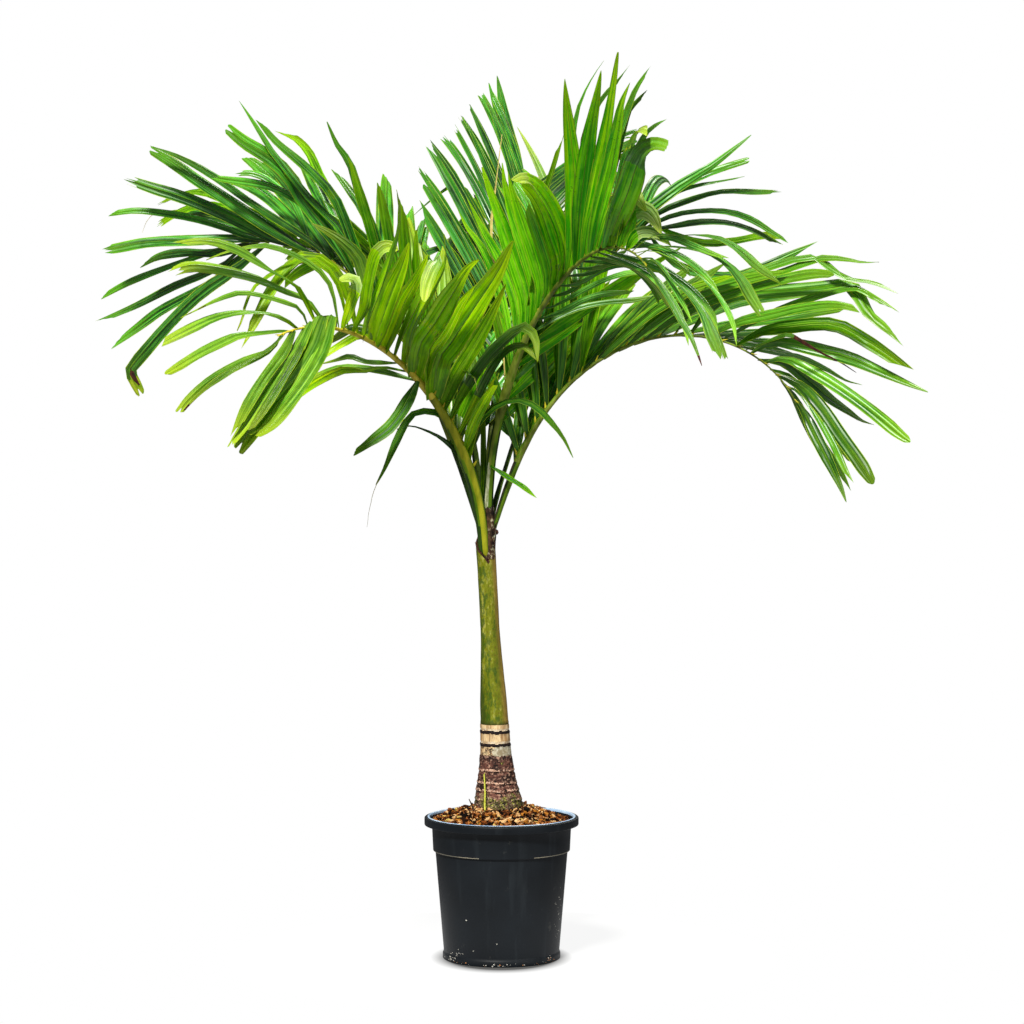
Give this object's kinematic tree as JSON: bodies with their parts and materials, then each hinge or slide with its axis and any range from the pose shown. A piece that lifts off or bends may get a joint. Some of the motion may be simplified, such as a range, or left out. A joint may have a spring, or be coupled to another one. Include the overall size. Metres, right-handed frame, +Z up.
{
  "type": "potted Christmas palm",
  "caption": "Young Christmas palm with a ringed swollen trunk, a green crownshaft and arching feather fronds, growing in bark mulch in a round nursery pot.",
  "frame": {"origin": "middle of the pot's flat underside, on the floor", "axes": "+Z up along the pot's axis, +X to the right and -Y towards the viewer of the picture"},
  "size_m": [1.8125, 1.8601, 1.9483],
  "materials": {
    "pot": "satin blue-black, scuffed near the base",
    "bark_mulch": "loose orange-brown bark chips",
    "trunk": "rough purple-brown bark with pale leaf scar rings, a little moss at the foot",
    "crownshaft": "smooth olive green leaf sheath with tan streaks",
    "stalk": "satin olive to yellow-green leaf stalk",
    "leaflet": "satin green leaf blades, paler and greyer beneath",
    "young_leaf": "satin light green furled leaf"
  },
  "bodies": {
    "root": {"pot": "pot", "soil": "bark_mulch", "trunk": "trunk", "crownshaft": "crownshaft", "inner_sheath": "crownshaft", "spear_leaf": "young_leaf", "frond_front_left_stalk": "stalk", "frond_front_left_inner": "leaflet", "frond_front_left_outer": "leaflet", "frond_front_right_stalk": "stalk", "frond_front_right_inner": "leaflet", "frond_front_right_outer": "leaflet", "frond_right_stalk": "stalk", "frond_right_inner": "leaflet", "frond_right_outer": "leaflet", "frond_left_stalk": "stalk", "frond_left_inner": "leaflet", "frond_left_outer": "leaflet", "frond_back_right_stalk": "stalk", "frond_back_right_inner": "leaflet", "frond_back_right_outer": "leaflet", "frond_back_stalk": "stalk", "frond_back_inner": "leaflet", "frond_back_outer": "leaflet", "frond_back_left_stalk": "stalk", "frond_back_left_inner": "leaflet", "frond_back_left_outer": "leaflet"}
  },
  "joints": []
}
